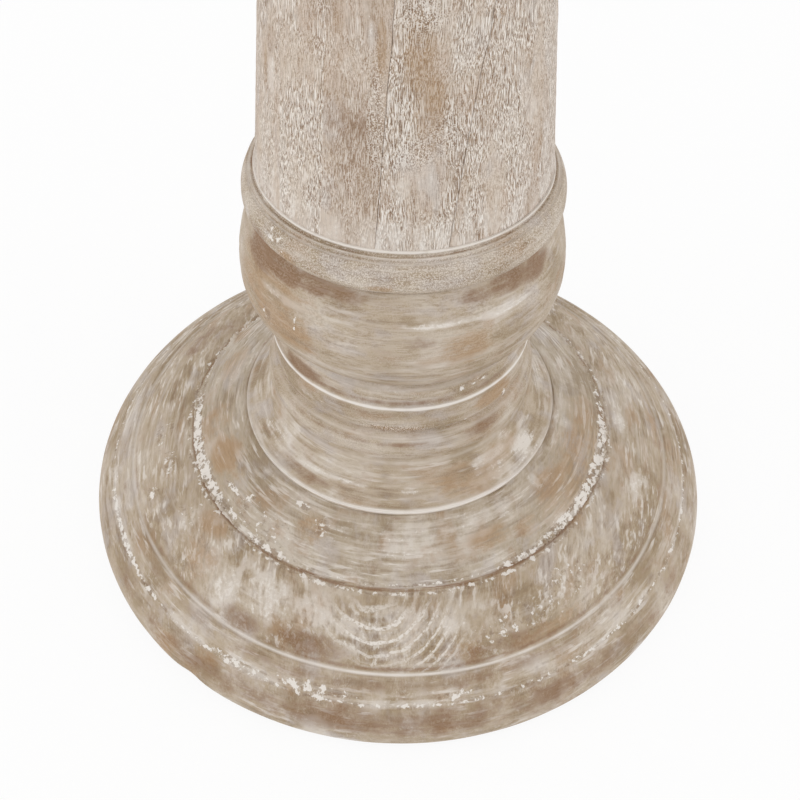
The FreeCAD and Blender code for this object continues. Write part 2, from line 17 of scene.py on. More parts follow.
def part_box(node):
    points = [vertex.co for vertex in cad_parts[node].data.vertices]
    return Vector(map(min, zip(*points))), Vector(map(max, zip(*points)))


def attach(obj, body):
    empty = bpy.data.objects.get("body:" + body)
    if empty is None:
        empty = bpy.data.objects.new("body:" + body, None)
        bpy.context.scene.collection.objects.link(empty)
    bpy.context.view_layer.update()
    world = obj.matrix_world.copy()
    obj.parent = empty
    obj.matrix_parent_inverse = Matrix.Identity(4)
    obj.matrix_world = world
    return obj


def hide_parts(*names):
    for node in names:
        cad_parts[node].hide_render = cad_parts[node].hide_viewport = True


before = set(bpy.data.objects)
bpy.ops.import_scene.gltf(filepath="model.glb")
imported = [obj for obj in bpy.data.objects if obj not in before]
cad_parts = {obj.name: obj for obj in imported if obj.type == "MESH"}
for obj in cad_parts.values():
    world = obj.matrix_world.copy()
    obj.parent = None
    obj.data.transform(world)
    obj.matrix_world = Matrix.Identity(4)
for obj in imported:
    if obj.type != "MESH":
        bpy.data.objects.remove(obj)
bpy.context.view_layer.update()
MM = 0.001

# %% [markdown]
# The camera stands close in front of the foot, a little lower than the top, and looks steeply down.
# The rings of the foot show as ellipses, and the way they open from the foot to the shaft gives its
# height, its pitch and its lens. A focal length in pixels is easy to measure on a picture, so it is
# turned into a lens here.

# %% Camera
PICTURE_SIDE = 800.0
FOCAL_PIXELS = 1043.4
SENSOR_WIDTH = 36.0
NEAREST_SEEN = 0.01
CAMERA_PLACE = Vector((0.0, -392.3, 502.6)) * MM
CAMERA_PITCH = 48.405
CAMERA_ROLL = 1.04

camera = bpy.data.objects.new("camera", bpy.data.cameras.new("camera"))
camera.data.sensor_width = SENSOR_WIDTH
camera.data.lens = SENSOR_WIDTH * FOCAL_PIXELS / PICTURE_SIDE
camera.data.clip_start = NEAREST_SEEN
tilt = Matrix.Rotation(math.radians(90.0 - CAMERA_PITCH), 4, "X")
roll = Matrix.Rotation(math.radians(CAMERA_ROLL), 4, "Z")
camera.matrix_world = Matrix.Translation(CAMERA_PLACE) @ tilt @ roll
bpy.context.collection.objects.link(camera)
bpy.context.scene.camera = camera
bpy.context.scene.view_settings.view_transform = "Standard"
print("lens", camera.data.lens, "mm")

# %% [markdown]
# A finish is a tree of shader nodes. Written as node calls it is hard to read, so a small class
# wraps one output socket and lets Python's own operators add the Math nodes. Everything else goes
# through one method, which sets a node's settings first and then its sockets.

# %% Shader sums as Python sums
class Value:
    """One output socket. Arithmetic on it adds a Math node."""

    def __init__(self, nodes, socket):
        self.nodes = nodes
        self.socket = socket

    def math(self, operation, first, second=0.0):
        return self.nodes.node("ShaderNodeMath", {"operation": operation}, {0: first, 1: second})

    def __add__(self, other):
        return self.math("ADD", self, other)

    def __radd__(self, other):
        return self.math("ADD", other, self)

    def __sub__(self, other):
        return self.math("SUBTRACT", self, other)

    def __rsub__(self, other):
        return self.math("SUBTRACT", other, self)

    def __mul__(self, other):
        return self.math("MULTIPLY", self, other)

    def __rmul__(self, other):
        return self.math("MULTIPLY", other, self)

    def __truediv__(self, other):
        return self.math("DIVIDE", self, other)

    def __pow__(self, other):
        return self.math("POWER", self, other)

    def larger(self, other):
        return self.math("MAXIMUM", self, other)


class Nodes:
    """A node tree that grows by one call for each node."""

    def __init__(self, tree):
        self.tree = tree

    def node(self, kind, settings=None, sockets=None, output=0):
        made = self.tree.nodes.new(kind)
        for name, setting in (settings or {}).items():
            setattr(made, name, setting)
        for name, value in (sockets or {}).items():
            self.join(value, made.inputs[name])
        return Value(self, made.outputs[output])

    def join(self, value, socket):
        if isinstance(value, Value):
            self.tree.links.new(value.socket, socket)
        else:
            socket.default_value = value


print("node helpers ready")

# %% [markdown]
# Five helpers cover most of a finish: a soft step, which turns a wavering value into a mask, a mix
# of two colours, a noise, a reading of a number stored on the mesh, and the place on the piece.
# Colours are written as they look on a screen, from 0 to 255, and turned into light.

# %% Helpers for finishes
def paint(red, green, blue):
    """A screen colour as the linear colour that a shader takes."""
    def light(part):
        part = part / 255.0
        return part / 12.92 if part <= 0.04045 else ((part + 0.055) / 1.055) ** 2.4
    return (light(red), light(green), light(blue), 1.0)


class Finish(Nodes):
    """A material, with its Principled shader at hand."""

    def __init__(self, name):
        self.material = bpy.data.materials.new(name)
        self.material.use_nodes = True
        super().__init__(self.material.node_tree)
        self.shader = self.tree.nodes["Principled BSDF"]

    def step(self, value, low, high):
        sockets = {"Value": value, "From Min": low, "From Max": high}
        return self.node("ShaderNodeMapRange", {"interpolation_type": "SMOOTHSTEP"}, sockets)

    def blend(self, amount, first, second):
        return self.node("ShaderNodeMix", {"data_type": "RGBA"}, {0: amount, 6: first, 7: second}, 2)

    def noise(self, vector, detail=2.0, roughness=0.5):
        sockets = {"Vector": vector, "Scale": 1.0, "Detail": detail, "Roughness": roughness}
        return self.node("ShaderNodeTexNoise", {}, sockets)

    def stored(self, name):
        return self.node("ShaderNodeAttribute", {"attribute_name": name}, {}, "Fac")

    def spot(self, unit):
        """The place on the piece, counted in steps of so many metres."""
        place = self.node("ShaderNodeTexCoord", {}, {}, "Object")
        return self.node("ShaderNodeVectorMath", {"operation": "SCALE"}, {0: place, "Scale": 1.0 / unit})


print("middle grey is", [round(part, 3) for part in paint(128, 128, 128)])

# %% [markdown]
# The room is a white tent: light comes from all round, with a little more from both sides and the
# front, so the wood shows its own colours and only its creases go dark. The floor is a pale sheet.
# To the camera it is nearly pure white, and a share of its real shading stays in, which keeps the
# soft shadow.

# %% Floor and light
TENT_LIGHT = 0.80
FLOOR_SHARE_WHITE = 0.9
FLOOR_REACH = 6.0
LAMP_SIDE = 1.5
LAMP_AIM = Vector((0.0, 0.0, 0.15))
WHITE = (1.0, 1.0, 1.0, 1.0)


def seen_straight(nodes):
    """1 for rays from the camera and for those that a shiny thing sends on, and 0 for scattered light."""
    kinds = ["Is Camera Ray", "Is Glossy Ray", "Is Transmission Ray"]
    rays = [nodes.node("ShaderNodeLightPath", {}, {}, kind) for kind in kinds]
    return rays[0].larger(rays[1]).larger(rays[2])


def light_tent():
    world = bpy.data.worlds.new("tent")
    bpy.context.scene.world = world
    world.use_nodes = True
    nodes = Nodes(world.node_tree)
    lit = nodes.node("ShaderNodeBackground", {}, {"Color": WHITE, "Strength": TENT_LIGHT})
    shown = nodes.node("ShaderNodeBackground", {}, {"Color": WHITE, "Strength": 1.0})
    both = nodes.node("ShaderNodeMixShader", {}, {0: seen_straight(nodes), 1: lit, 2: shown})
    nodes.join(both, world.node_tree.nodes["World Output"].inputs["Surface"])


def soft_lamp(name, place, power):
    lamp = bpy.data.objects.new(name, bpy.data.lights.new(name, "AREA"))
    lamp.data.size = LAMP_SIDE
    lamp.data.energy = power
    lamp.location = place
    lamp.rotation_euler = (LAMP_AIM - Vector(place)).to_track_quat("-Z", "Y").to_euler()
    bpy.context.collection.objects.link(lamp)


def lay_floor():
    mesh = bpy.data.meshes.new("floor")
    sheet = bmesh.new()
    bmesh.ops.create_grid(sheet, x_segments=8, y_segments=8, size=FLOOR_REACH)
    sheet.to_mesh(mesh)
    sheet.free()
    floor = bpy.data.objects.new("floor", mesh)
    bpy.context.collection.objects.link(floor)
    pale = Finish("pale_floor")
    pale.shader.inputs["Base Color"].default_value = paint(250, 250, 250)
    pale.shader.inputs["Roughness"].default_value = 0.9
    glow = pale.node("ShaderNodeEmission", {}, {"Color": WHITE, "Strength": 1.0})
    shade = Value(pale, pale.shader.outputs[0])
    share = seen_straight(pale) * FLOOR_SHARE_WHITE
    both = pale.node("ShaderNodeMixShader", {}, {0: share, 1: shade, 2: glow})
    pale.join(both, pale.tree.nodes["Material Output"].inputs["Surface"])
    mesh.materials.append(pale.material)


light_tent()
soft_lamp("left_lamp", (-1.7, -0.5, 1.0), 7.0)
soft_lamp("right_lamp", (1.7, -0.4, 1.0), 6.0)
soft_lamp("front_lamp", (-0.3, -1.7, 1.4), 2.0)
lay_floor()
print("tent light", TENT_LIGHT)

# %% [markdown]
# A turner works from an outline. Each solid of the frame is cut by an upright half-plane through
# the axis, and the cut is the outline: a closed loop of radius and height. Reading it from the
# frame keeps every new piece exactly where its solid is.

# %% Read an outline from a solid
FRONT = -90.0
WELD = 0.002 * MM
SLIVER = 0.0005 * MM
AXIS_SLACK = 0.001 * MM


def outline(node, bearing):
    """The loop of (radius, height) in mm where a half-plane at a bearing cuts a solid."""
    angle = math.radians(bearing)
    outward = Vector((math.cos(angle), math.sin(angle), 0.0))
    sideways = Vector((-math.sin(angle), math.cos(angle), 0.0))
    solid = bmesh.new()
    solid.from_mesh(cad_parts[node].data)
    bmesh.ops.remove_doubles(solid, verts=solid.verts, dist=WELD)
    parts = solid.verts[:] + solid.edges[:] + solid.faces[:]
    cut = bmesh.ops.bisect_plane(solid, geom=parts, dist=SLIVER,
                                 plane_co=(0.0, 0.0, 0.0), plane_no=sideways)["geom_cut"]
    links = {}
    for edge in cut:
        if isinstance(edge, bmesh.types.BMEdge):
            ends = edge.verts
            if min(end.co.dot(outward) for end in ends) > -AXIS_SLACK:
                links.setdefault(ends[0], []).append(ends[1])
                links.setdefault(ends[1], []).append(ends[0])
    walk = [min(links, key=lambda end: (end.co.z, end.co.dot(outward)))]
    walk.append(links[walk[0]][0])
    while walk[-1] is not walk[0]:
        ways = [end for end in links[walk[-1]] if end is not walk[-2]]
        walk.append(ways[0])
    loop = np.array([(end.co.dot(outward), end.co.z) for end in walk[:-1]]) / MM
    solid.free()
    area = np.sum(loop[:, 0] * np.roll(loop[:, 1], -1) - np.roll(loop[:, 0], -1) * loop[:, 1])
    return loop if area > 0.0 else loop[::-1]


print("cushion outline:", len(outline("cushion_disc", FRONT)), "points")

# %% [markdown]
# The raw outline has razor edges and uneven points. Between corners it is one smooth run, so each
# run gets even points on a curve through the raw ones, and each corner is eased as sandpaper eases
# it. Long flat runs are where pieces sit on each other. They and the bore need few points.

# %% Ease an outline
CORNER_ANGLE = 16.0
EASE = 0.35
SEAT_LENGTH = 8.0
FLATNESS = 0.01
HIDDEN_RADIUS = 30.0
HIDDEN_PITCH = 15.0


def follow(run, distances):
    """Points at given distances along a smooth curve through a run of points."""
    gone = np.concatenate([[0.0], np.cumsum(np.linalg.norm(np.diff(run, axis=0), axis=1))])
    if len(run) == 2:
        share = (distances / gone[-1])[:, None]
        return run[0] * (1.0 - share) + run[1] * share
    slope = np.gradient(run, gone, axis=0, edge_order=2)
    near = np.clip(np.searchsorted(gone, distances) - 1, 0, len(run) - 2)
    span = (gone[near + 1] - gone[near])[:, None]
    t = (distances - gone[near])[:, None] / span
    rise = t * t * (3.0 - 2.0 * t)
    return (run[near] * (1.0 - rise) + run[near + 1] * rise
            + slope[near] * span * t * (1.0 - t) ** 2 - slope[near + 1] * span * t * t * (1.0 - t))


def corner_between(run, following):
    """Where two neighbouring runs would meet if they went straight on."""
    a, b = run[-1] - run[-2], following[1] - following[0]
    cross = a[0] * b[1] - a[1] * b[0]
    gap = following[0] - run[-1]
    reach = (gap[0] * b[1] - gap[1] * b[0]) / cross
    return run[-1] + a * reach


def eased(loop, pitch):
    """An even, eased loop, and for each of its points whether it is on show."""
    ahead = np.roll(loop, -1, axis=0) - loop
    behind = np.roll(ahead, 1, axis=0)
    turn = np.arctan2(behind[:, 0] * ahead[:, 1] - behind[:, 1] * ahead[:, 0], np.sum(behind * ahead, axis=1))
    corners = np.flatnonzero(np.abs(turn) > math.radians(CORNER_ANGLE))
    runs = []
    for first, last in zip(corners, np.roll(corners, -1)):
        count = (last - first) % len(loop)
        run = loop[(first + np.arange(count + 1)) % len(loop)]
        length = np.sum(np.linalg.norm(np.diff(run, axis=0), axis=1))
        seat = np.ptp(run[:, 1]) < FLATNESS and length > SEAT_LENGTH
        hidden = seat or run[:, 0].max() < HIDDEN_RADIUS
        step = HIDDEN_PITCH if hidden else pitch
        keep = min(EASE, length / 3.0)
        even = np.linspace(keep, length - keep, max(2, math.ceil(length / step)))
        runs.append((follow(run, even), hidden))
    points = []
    shown = []
    for (run, hidden), (following, _) in zip(runs, runs[1:] + runs[:1]):
        points.extend(run)
        shown.extend([0.0 if hidden else 1.0] * len(run))
        start, end = run[-1], following[0]
        corner = corner_between(run, following)
        for t in (1.0 / 3.0, 2.0 / 3.0):
            points.append((1 - t) ** 2 * start + 2 * t * (1 - t) * corner + t * t * end)
            shown.append(0.0 if hidden else 1.0)
    return np.array(points), np.array(shown)


for node in ("foot_board_middle", "ring_disc"):
    print(node, "eased to", len(eased(outline(node, FRONT), 0.8)[0]), "points")

# %% [markdown]
# Turned wood is never quite round: it dries into a slight oval, the tool leaves faint ridges, and
# edges get small knocks. A sum of a few waves round the turn, with seeded phases, gives each of
# these. Points move along the outline's normal, and faces that sit on another piece stay flat.

# %% Turn a piece
OVAL = 0.16
FLUTTER = 0.05
RIDGE = 0.05
RIDGE_PACE = 0.21


def waves(angle, seed, low, high, count=9):
    """A smooth random value round the turn, about -1 to 1."""
    pick = np.random.default_rng(seed)
    total = np.zeros_like(angle)
    for cycles in pick.integers(low, high + 1, count):
        total = total + np.sin(cycles * angle + pick.uniform(0.0, 2.0 * math.pi))
    return total / math.sqrt(count)


def store(mesh, name, values):
    """Keep one number for each vertex, for the finish to read."""
    layer = mesh.attributes.new(name, "FLOAT", "POINT")
    layer.data.foreach_set("value", np.asarray(values, dtype=np.float32))


def turn_mesh(name, node, bearing, segments, pitch, seed, shape=None):
    """A closed mesh turned from a node's outline, with the way along the outline stored as run."""
    loop, shown = eased(outline(node, bearing), pitch)
    along = np.roll(loop, -1, axis=0) - np.roll(loop, 1, axis=0)
    normal = np.stack([along[:, 1], -along[:, 0]], axis=1) / np.linalg.norm(along, axis=1)[:, None]
    run = np.concatenate([[0.0], np.cumsum(np.linalg.norm(np.diff(loop, axis=0), axis=1))])
    angle = np.linspace(0.0, 2.0 * math.pi, segments, endpoint=False)
    grid_angle, grid_run = np.meshgrid(angle, run, indexing="ij")
    oval = OVAL * waves(angle, seed, 2, 4, 3) + FLUTTER * waves(angle, seed + 1, 9, 30)
    ridge = RIDGE * waves(run * RIDGE_PACE, seed + 2, 3, 11)
    lift = (oval[:, None] + ridge[None, :]) * shown[None, :]
    if shape:
        front = (grid_angle - math.radians(FRONT) + math.pi) % (2.0 * math.pi) - math.pi
        lift = lift + shape(np.degrees(front), loop[None, :, 0], loop[None, :, 1]) * shown[None, :]
    radius = loop[None, :, 0] + lift * normal[None, :, 0]
    height = loop[None, :, 1] + lift * normal[None, :, 1]
    place = np.stack([radius * np.cos(grid_angle), radius * np.sin(grid_angle), height], axis=-1) * MM
    rows, columns = grid_angle.shape
    index = np.arange(rows * columns).reshape(rows, columns)
    right = np.roll(index, -1, axis=0)
    faces = np.stack([index, right, np.roll(right, -1, axis=1), np.roll(index, -1, axis=1)], axis=-1)
    mesh = bpy.data.meshes.new(name)
    mesh.from_pydata(place.reshape(-1, 3).tolist(), [], faces.reshape(-1, 4).tolist())
    store(mesh, "run", grid_run.ravel())
    return mesh


test = turn_mesh("test", "cushion_disc", FRONT, 96, 2.0, 5)
print("cushion test:", len(test.vertices), "vertices")
bpy.data.meshes.remove(test)

# %% [markdown]
# Wide pieces are glued up from boards. The turned blank is sawn along the glue joints, and a hair
# of room is left there, which shows as the thin dark line that an old glue joint has. Where a joint
# is still tight, the room is too small to see. The cut faces are filled, so each board is closed.

# %% Saw a blank into boards
TIGHT_JOINT = 0.01
OPEN_JOINT = 0.11


def sawn(blank, name, normal, low, high):
    """The slice of a blank between two joints (place, room), as a new mesh."""
    board = bmesh.new()
    board.from_mesh(blank)
    bmesh.ops.remove_doubles(board, verts=board.verts, dist=SLIVER)
    for joint, facing in ((low, -1.0), (high, 1.0)):
        if joint is not None:
            place, room = joint
            spot = normal * (place - facing * room) * MM
            parts = board.verts[:] + board.edges[:] + board.faces[:]
            cut = bmesh.ops.bisect_plane(board, geom=parts, dist=SLIVER, plane_co=spot,
                                         plane_no=normal * facing, clear_outer=True)["geom_cut"]
            rim = [edge for edge in cut if isinstance(edge, bmesh.types.BMEdge)]
            bmesh.ops.holes_fill(board, edges=rim, sides=0)
    bmesh.ops.recalc_face_normals(board, faces=board.faces)
    mesh = bpy.data.meshes.new(name)
    board.to_mesh(mesh)
    board.free()
    return mesh


print("open joints", 2 * OPEN_JOINT, "mm wide")

# %% [markdown]
# The lime is not even. It lies thick in places, is worn off in others, and sits in bright lines on
# the ledges, which are lime brightened further as painted highlight. Brown stains are marks too, and
# the same dark marks paint shade into creases, under the bead and on the front of the rim. Such places
# are listed as dabs and rings, and stored on the mesh as soft numbers. The finish breaks their edges
# up later with fine noise.

# %% Dabs and rings of lime
# Dark marks are brown stain and painted shade in creases, under the bead and on the rim's front.
# Ledge lines are lime on the fillets, brightened further as painted highlight.
MARKS = ("lime", "crumbs", "bare", "stain_and_shade", "speck", "ledge_lime_and_highlight", "figure")
FULL_WITHIN = 0.4
GONE_BEYOND = 1.5
RING_STRENGTH = 0.9
RING_ROUGHNESS = 0.14
FACING_WIDTH = 50.0


def read_places(mesh):
    """The angle from the front in degrees, the radius and the level of each vertex, in mm."""
    spots = np.empty(len(mesh.vertices) * 3, dtype=np.float32)
    mesh.vertices.foreach_get("co", spots)
    spots = spots.reshape(-1, 3) / MM
    radius = np.hypot(spots[:, 0], spots[:, 1])
    front = np.degrees(np.arctan2(spots[:, 0], -spots[:, 1]))
    return front, radius, spots[:, 2]


def soft(distance):
    """1 inside, 0 outside, and a soft edge between."""
    t = np.clip((GONE_BEYOND - distance) / (GONE_BEYOND - FULL_WITHIN), 0.0, 1.0)
    return t * t * (3.0 - 2.0 * t)


def mark(mesh, dabs=(), rings=(), level_wise=True):
    """Store dabs and rings on a mesh.

    A dab is (kind, angle, place, wide, tall, amount). Its place is a level, or a radius on a flat piece.
    A ring is (kind, radius, level, wide, amount, side). Its side is the share of it that is left at the
    sides and the back."""
    front, radius, level = read_places(mesh)
    sums = {kind: np.zeros(len(radius)) for kind in MARKS}
    across = level if level_wise else radius
    for kind, angle, place, wide, tall, amount in dabs:
        aside = (front - angle + 180.0) % 360.0 - 180.0
        distance = np.hypot(np.radians(aside) * radius / wide, (across - place) / tall)
        sums[kind] = np.maximum(sums[kind], amount * soft(distance))
    for kind, ring_radius, ring_level, wide, amount, side in rings:
        distance = np.hypot(radius - ring_radius, level - ring_level) / wide
        seed = round(10.0 * ring_radius + ring_level)
        rough = RING_STRENGTH + RING_ROUGHNESS * waves(np.radians(front), seed, 2, 60, 20)
        # Rings weigh most at the front, so painted highlights and painted shade fade towards the sides.
        facing = side + (1.0 - side) * np.exp(-(front / FACING_WIDTH) ** 2)
        sums[kind] = np.maximum(sums[kind], amount * facing * rough * np.exp(-distance ** 2))
    for kind, total in sums.items():
        store(mesh, kind, total)


print("marks:", ", ".join(MARKS))

# %% [markdown]
# In wood some marks follow the grain, some follow the rag that went round the lathe, and some are
# alike every way. This finish knows where a point lies in its board, in millimetres, so each kind
# of mark is one call with its width and its length. The grain sways a little, and every board is
# moved in the noise, so that neighbours differ.

# %% Noise that follows the wood
BOARD_SHIFT = 17.3


class Wood(Finish):
    """A finish that knows the grain of its piece, which runs along x, y or z."""

    def __init__(self, name, grain, turn):
        super().__init__(name)
        parts = self.node("ShaderNodeSeparateXYZ", {}, {0: self.spot(MM)}).socket.node.outputs
        self.x, self.y, self.z = (Value(self, part) for part in parts)
        self.shift = self.stored("board") * BOARD_SHIFT
        self.run = self.stored("run")
        c, s = math.cos(math.radians(turn)), math.sin(math.radians(turn))
        u = self.x * c + self.y * s
        v = self.y * c - self.x * s
        ways = {"x": (u, v, self.z), "y": (v, u, self.z), "z": (self.z, u, v)}
        self.along, self.across, self.depth = ways[grain]
        sway = self.with_grain(34.0, 70.0)
        ripple = self.with_grain(4.0, 11.0, 1.0)
        self.across = self.across + sway * 2.2 + ripple * 0.3
        self.depth = self.depth + sway * 1.2 - ripple * 0.3

    def field(self, first, second, third, detail=2.0, roughness=0.5):
        """A noise that wavers about 0, mostly between -1 and 1."""
        vector = self.node("ShaderNodeCombineXYZ", {}, {0: first, 1: second, 2: third})
        return (self.noise(vector, detail, roughness) - 0.5) * 4.0

    def with_grain(self, width, length, detail=2.0, roughness=0.5):
        """Marks drawn out along the grain."""
        aside = self.across / width + self.shift
        return self.field(aside, self.depth / width, self.along / length, detail, roughness)

    def round_turn(self, width, length, detail=2.0, roughness=0.5):
        """Marks drawn out round the lathe."""
        above = self.run / width + self.shift
        return self.field(self.x / length, self.y / length, above, detail, roughness)

    def lumps(self, size, detail=2.0, roughness=0.5, aside=0.0, above=0.0):
        """Marks alike every way, moved aside or up in the noise."""
        return self.field(self.x / size + aside, self.y / size, self.z / size + above, detail, roughness)


print("boards are", BOARD_SHIFT, "apart in the noise")

# %% [markdown]
# The lime is rubbed on with a rag that goes round the lathe, and some of it is brushed dry. Both
# leave strokes, which are bolder where the wood was worked more. Blots, clods and crumbs are alike
# every way. A mix of them all makes the edge of each stain and patch ragged.

# %% Marks of rag and brush
class Rubbed(Wood):
    """Wood with the marks that rag and brush leave on it."""

    def __init__(self, name, grain, turn, strokes, lay, reach):
        super().__init__(name, grain, turn)
        self.blot = self.lumps(11.0, 5.0, 0.68, aside=self.shift)
        self.crumb = self.lumps(1.5, 4.0, 0.7)
        self.clod = self.lumps(3.4, 3.0, 0.6)
        self.worked = self.step(self.lumps(20.0, above=self.shift), -0.4, 0.4) * 0.75 + 0.25
        wide = self.round_turn(7.0, 48.0, 3.0, 0.55)
        narrow = self.round_turn(1.7, 60.0, 2.0, 0.6)
        self.stroke = wide * 0.65 + narrow * self.worked * 0.45
        self.dry = self.dry_brush(lay, reach)
        self.ragged = self.blot * 0.3 + self.stroke * strokes * 0.4 + self.dry * 0.25 + self.crumb * 0.06

    def dry_brush(self, lay, reach):
        """Dry strokes that lie round the turn, with the grain, or both, as the mesh says."""
        if lay == "round":
            return self.round_turn(2.4, 19.0, 3.0, 0.55)
        grained = self.with_grain(2.4, 17.0 * reach, 3.0, 0.55)
        if lay == "grain":
            return grained
        turned = self.round_turn(2.4, 19.0, 3.0, 0.55)
        return grained + (turned - grained) * self.stored("round")


print("rag and brush ready")

# %% [markdown]
# Bare wood comes first. A slow noise along the grain moves it between three tones, and a second one
# warms it to ochre or cools it to olive and grey. Worn places show ochre, and stained places go dark
# umber, as do creases, the cushion under the bead and the rim's front, where the umber is painted
# shade. Less lime stays on both, so the share of clean wood is handed on with the colour.

# %% Wood under the lime
LIME = paint(236, 230, 223)
GREY = paint(188, 177, 169)
OLIVE = paint(180, 161, 126)
OCHRE = paint(171, 139, 103)
# Umber is brown stain, and painted shade in creases, under the bead and on the rim's front.
STAIN_AND_SHADE_UMBER = paint(132, 98, 67)
BROWN = paint(112, 84, 58)
FADED = (paint(158, 138, 113), paint(184, 167, 147), paint(204, 192, 178))
GREYED = (paint(158, 141, 120), paint(182, 168, 151), paint(203, 193, 180))
ROSY = (paint(177, 154, 134), paint(196, 175, 156), paint(209, 193, 177))
HUE_APART = 31.0


def bare_wood(f, base, warmth, reach):
    """The colour of the wood, with its stains and painted shade, and how far it is clean."""
    mottle = f.with_grain(22.0, 45.0 * reach, 4.0, 0.6) * 1.35
    tone = mottle + f.ragged * 1.2 + f.stored("tone")
    aside = f.across / 17.0 + f.shift + HUE_APART
    hue = f.field(aside, f.depth / 17.0, f.along / 34.0, 3.0, 0.6) + f.blot * 0.25
    wood = f.blend(f.step(tone, -0.8, 0.0), base[0], base[1])
    wood = f.blend(f.step(tone, 0.0, 0.8), wood, base[2])
    wood = f.blend(f.step(hue, 0.1, 0.9) * warmth, wood, OCHRE)
    wood = f.blend(f.step(hue, -0.4, -0.1) * f.step(hue, 0.3, 0.05) * warmth * 0.35, wood, OLIVE)
    wood = f.blend(f.step(hue, -0.2, -0.8) * 0.7, wood, GREY)
    bare = f.step(f.stored("bare") + f.ragged * 1.4, 0.12, 1.05) * 0.85
    # This mask darkens stained places and paints shade into creases, under the bead and on the rim.
    stain_and_shade = f.step(f.stored("stain_and_shade") + f.ragged * 1.4, 0.15, 1.15) * 0.85
    wood = f.blend(bare, wood, OCHRE)
    wood = f.blend(stain_and_shade, wood, STAIN_AND_SHADE_UMBER)
    clean = 1.0 - (bare * 0.45).larger(stain_and_shade * 0.75)
    return wood, clean


def growth_rings(f, pith, ring_width):
    """Waves that go out from the pith line, and how far they show."""
    off = f.across - pith[0]
    up = f.depth - pith[1]
    age = (off * off + up * up) ** 0.5 + f.blot * 0.4
    wave = age.math("SINE", age * (2.0 * math.pi / ring_width))
    return wave, f.stored("figure") * f.step(f.crumb, -0.9, 0.3)


print("lime white is", [round(part, 3) for part in LIME])

# %% [markdown]
# White lime lies over the wood. Most marks have two sides: brown where the lime was wiped off, and
# white where it stayed. That goes for strokes, growth rings, streaks, pores, specks and crumbs.
# Flecks, thin patches and the lines on the ledges are white only; the ledge lines are lime brightened
# as painted highlight. The whitest coat wins, and where lime lies the wood is rougher and stands up a
# little.

# %% Limewashed wood
def limewashed(name, grain, base=FADED, pores=0.3, strokes=0.5, streaks=0.3, brush=0.3, film=0.4, grit=0.1,
               warmth=0.6, pith=(0.0, 160.0), ring_width=6.0, turn=0.0, pore_size=(0.8, 12.0), lay="round",
               reach=1.0):
    """Wood with its grain along an axis, and the share of each way in which the lime lies.

    The reach stretches the marks that follow the grain."""
    f = Rubbed(name, grain, turn, strokes, lay, reach)
    wood, clean = bare_wood(f, base, warmth, reach)
    wave, figure = growth_rings(f, pith, ring_width)
    zone = f.step(f.field(f.across / 13.0, f.depth / 13.0 + f.shift, f.along / 38.0), -0.6, 0.4)
    streak = f.with_grain(1.7, 40.0 * reach, 3.0, 0.65)
    pore = f.with_grain(pore_size[0], pore_size[1], 2.0, 0.6)
    open_pores = (zone * 0.6 + 0.4) * pores * f.stored("pores")
    fine = f.field(f.x / 0.5, f.y / 0.5, f.z / 0.6, 1.0)
    speck = f.stored("speck")
    crumbs = f.stored("crumbs")
    near = f.step(crumbs, 0.05, 0.3)
    gap = f.step(crumbs - f.clod - f.crumb * 0.3, 0.7, 1.1) * near
    lump = f.step(f.clod * 0.8 + f.crumb * 0.3 + crumbs, 0.72, 0.92) * near
    lime = f.stored("lime") + f.step(f.lumps(34.0, 3.0, above=f.shift), -0.25, 0.65) * film
    fleck = f.step(f.crumb * 0.45 + f.dry * 0.5 + lime * 0.7, 0.5, 1.0)
    thin = f.step(lime + f.ragged * 1.5, 0.2, 1.1) * lime.math("MINIMUM", lime, 0.55)

    brown_and_white = [
        (f.step(f.stroke, -0.1, -0.7) * strokes * 0.5,
         f.step(f.stroke, 0.1, 0.7) * strokes * clean * 0.8),
        (f.step(f.dry, -0.1, -0.7) * f.worked * brush * 0.5,
         f.step(f.dry, 0.1, 0.55) * f.worked * brush * clean),
        (f.step(wave, -0.3, -0.95) * figure * 0.4,
         f.step(wave, 0.4, 0.9) * figure * 0.95),
        (f.step(streak, -0.15, -0.7) * streaks * 0.5,
         f.step(streak, 0.1, 0.7) * zone * streaks * clean),
        (f.step(pore, -0.05, -0.3) * open_pores * 0.75,
         f.step(pore, 0.02, 0.28) * open_pores * (clean * 0.7 + 0.3)),
        (f.step(fine, -0.05, -0.35) * (speck * 0.8 + grit * 0.6),
         f.step(fine, 0.1, 0.45) * (clean * grit + speck)),
        (gap * 0.4, lump * 0.95),
    ]
    # Lines on the ledges: lime on the fillets with painted highlight, strongest at the front.
    white = f.stored("ledge_lime_and_highlight") * (f.crumb * 0.1 + 1.0)
    white = white.larger(fleck * clean * 0.8).larger(thin * clean)
    for brown_share, white_share in brown_and_white:
        wood = f.blend(brown_share, wood, BROWN)
        white = white.larger(white_share)

    f.join(f.blend(white, wood, LIME), f.shader.inputs["Base Color"])
    f.join(0.58 + white * 0.2, f.shader.inputs["Roughness"])
    f.shader.inputs["Specular IOR Level"].default_value = 0.3
    relief = pore * open_pores * 0.15 + f.stroke * strokes * 0.15 + fine * 0.02 + fleck * 0.4 + lump
    bump = f.node("ShaderNodeBump", {}, {"Strength": 0.5, "Distance": 0.3 * MM, "Height": relief})
    f.join(bump, f.shader.inputs["Normal"])
    return f.material


print("limewash ready")

# %% [markdown]
# The pieces are made by one function: turn the blank, saw it if it is glued up, store its marks and
# hand it its finish. Each new piece stands for its CAD node, rides on the table's one body, and
# takes its finish as its material.

# %% Make a piece of wood
SHARP_FROM = 50.0


